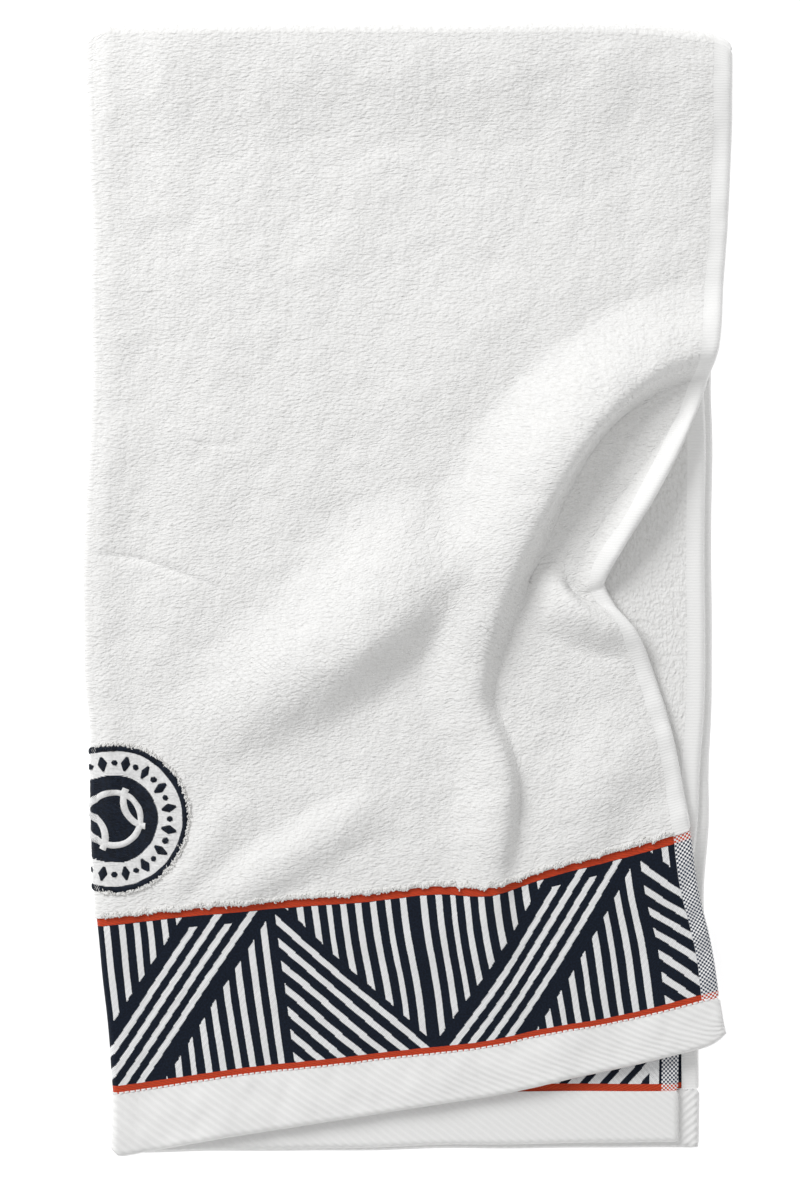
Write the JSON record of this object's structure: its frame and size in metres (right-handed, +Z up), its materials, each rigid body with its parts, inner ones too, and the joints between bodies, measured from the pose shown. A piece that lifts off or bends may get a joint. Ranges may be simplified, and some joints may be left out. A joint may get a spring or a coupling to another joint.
{
  "type": "folded sports towel",
  "caption": "Terry sports towel folded in four, with a patterned woven border between red lines, a ribbed end hem, side hems and a round embroidered crest over the folded edge.",
  "frame": {"origin": "middle of the underside of the folded towel", "axes": "+Z up, +Y towards the crosswise end fold, +X towards the open side edges; the lengthwise side fold is on the -X side"},
  "size_m": [0.256, 0.4536, 0.0332],
  "materials": {
    "terry": "looped cotton terry",
    "red_line": "flat woven cotton",
    "woven_border": "flat jacquard weave, navy ground with white stripes",
    "stitching": "sewing thread",
    "end_hem": "ribbed flat weave, folded and sewn",
    "side_hem": "flat weave, folded and sewn",
    "check_edge": "navy and white chequered weave",
    "crest_navy": "satin stitch embroidery",
    "crest_white": "satin stitch embroidery"
  },
  "bodies": {
    "back_half": {"back_terry": "terry", "back_upper_red_line": "red_line", "back_woven_border": "woven_border", "back_lower_red_line": "red_line", "back_hem_stitching": "stitching", "back_end_hem": "end_hem", "back_outer_side_hem": "side_hem", "back_inner_side_hem": "side_hem", "back_outer_check_edge": "check_edge", "back_inner_check_edge": "check_edge"},
    "front_half": {"front_terry": "terry", "front_upper_red_line": "red_line", "front_woven_border": "woven_border", "front_lower_red_line": "red_line", "front_hem_stitching": "stitching", "front_end_hem": "end_hem", "front_outer_side_hem": "side_hem", "front_inner_side_hem": "side_hem", "front_outer_check_edge": "check_edge", "front_inner_check_edge": "check_edge", "crest_rim": "crest_navy", "crest_ring": "crest_white", "crest_centre": "crest_navy", "crest_motif": "crest_white"}
  },
  "joints": [
    {"name": "unfold", "type": "hinge", "parent": "back_half", "child": "front_half", "pos_m": [0, 0.2268, 0.00645], "axis": [-1, 0, 0], "range_deg": [0, 180]}
  ]
}
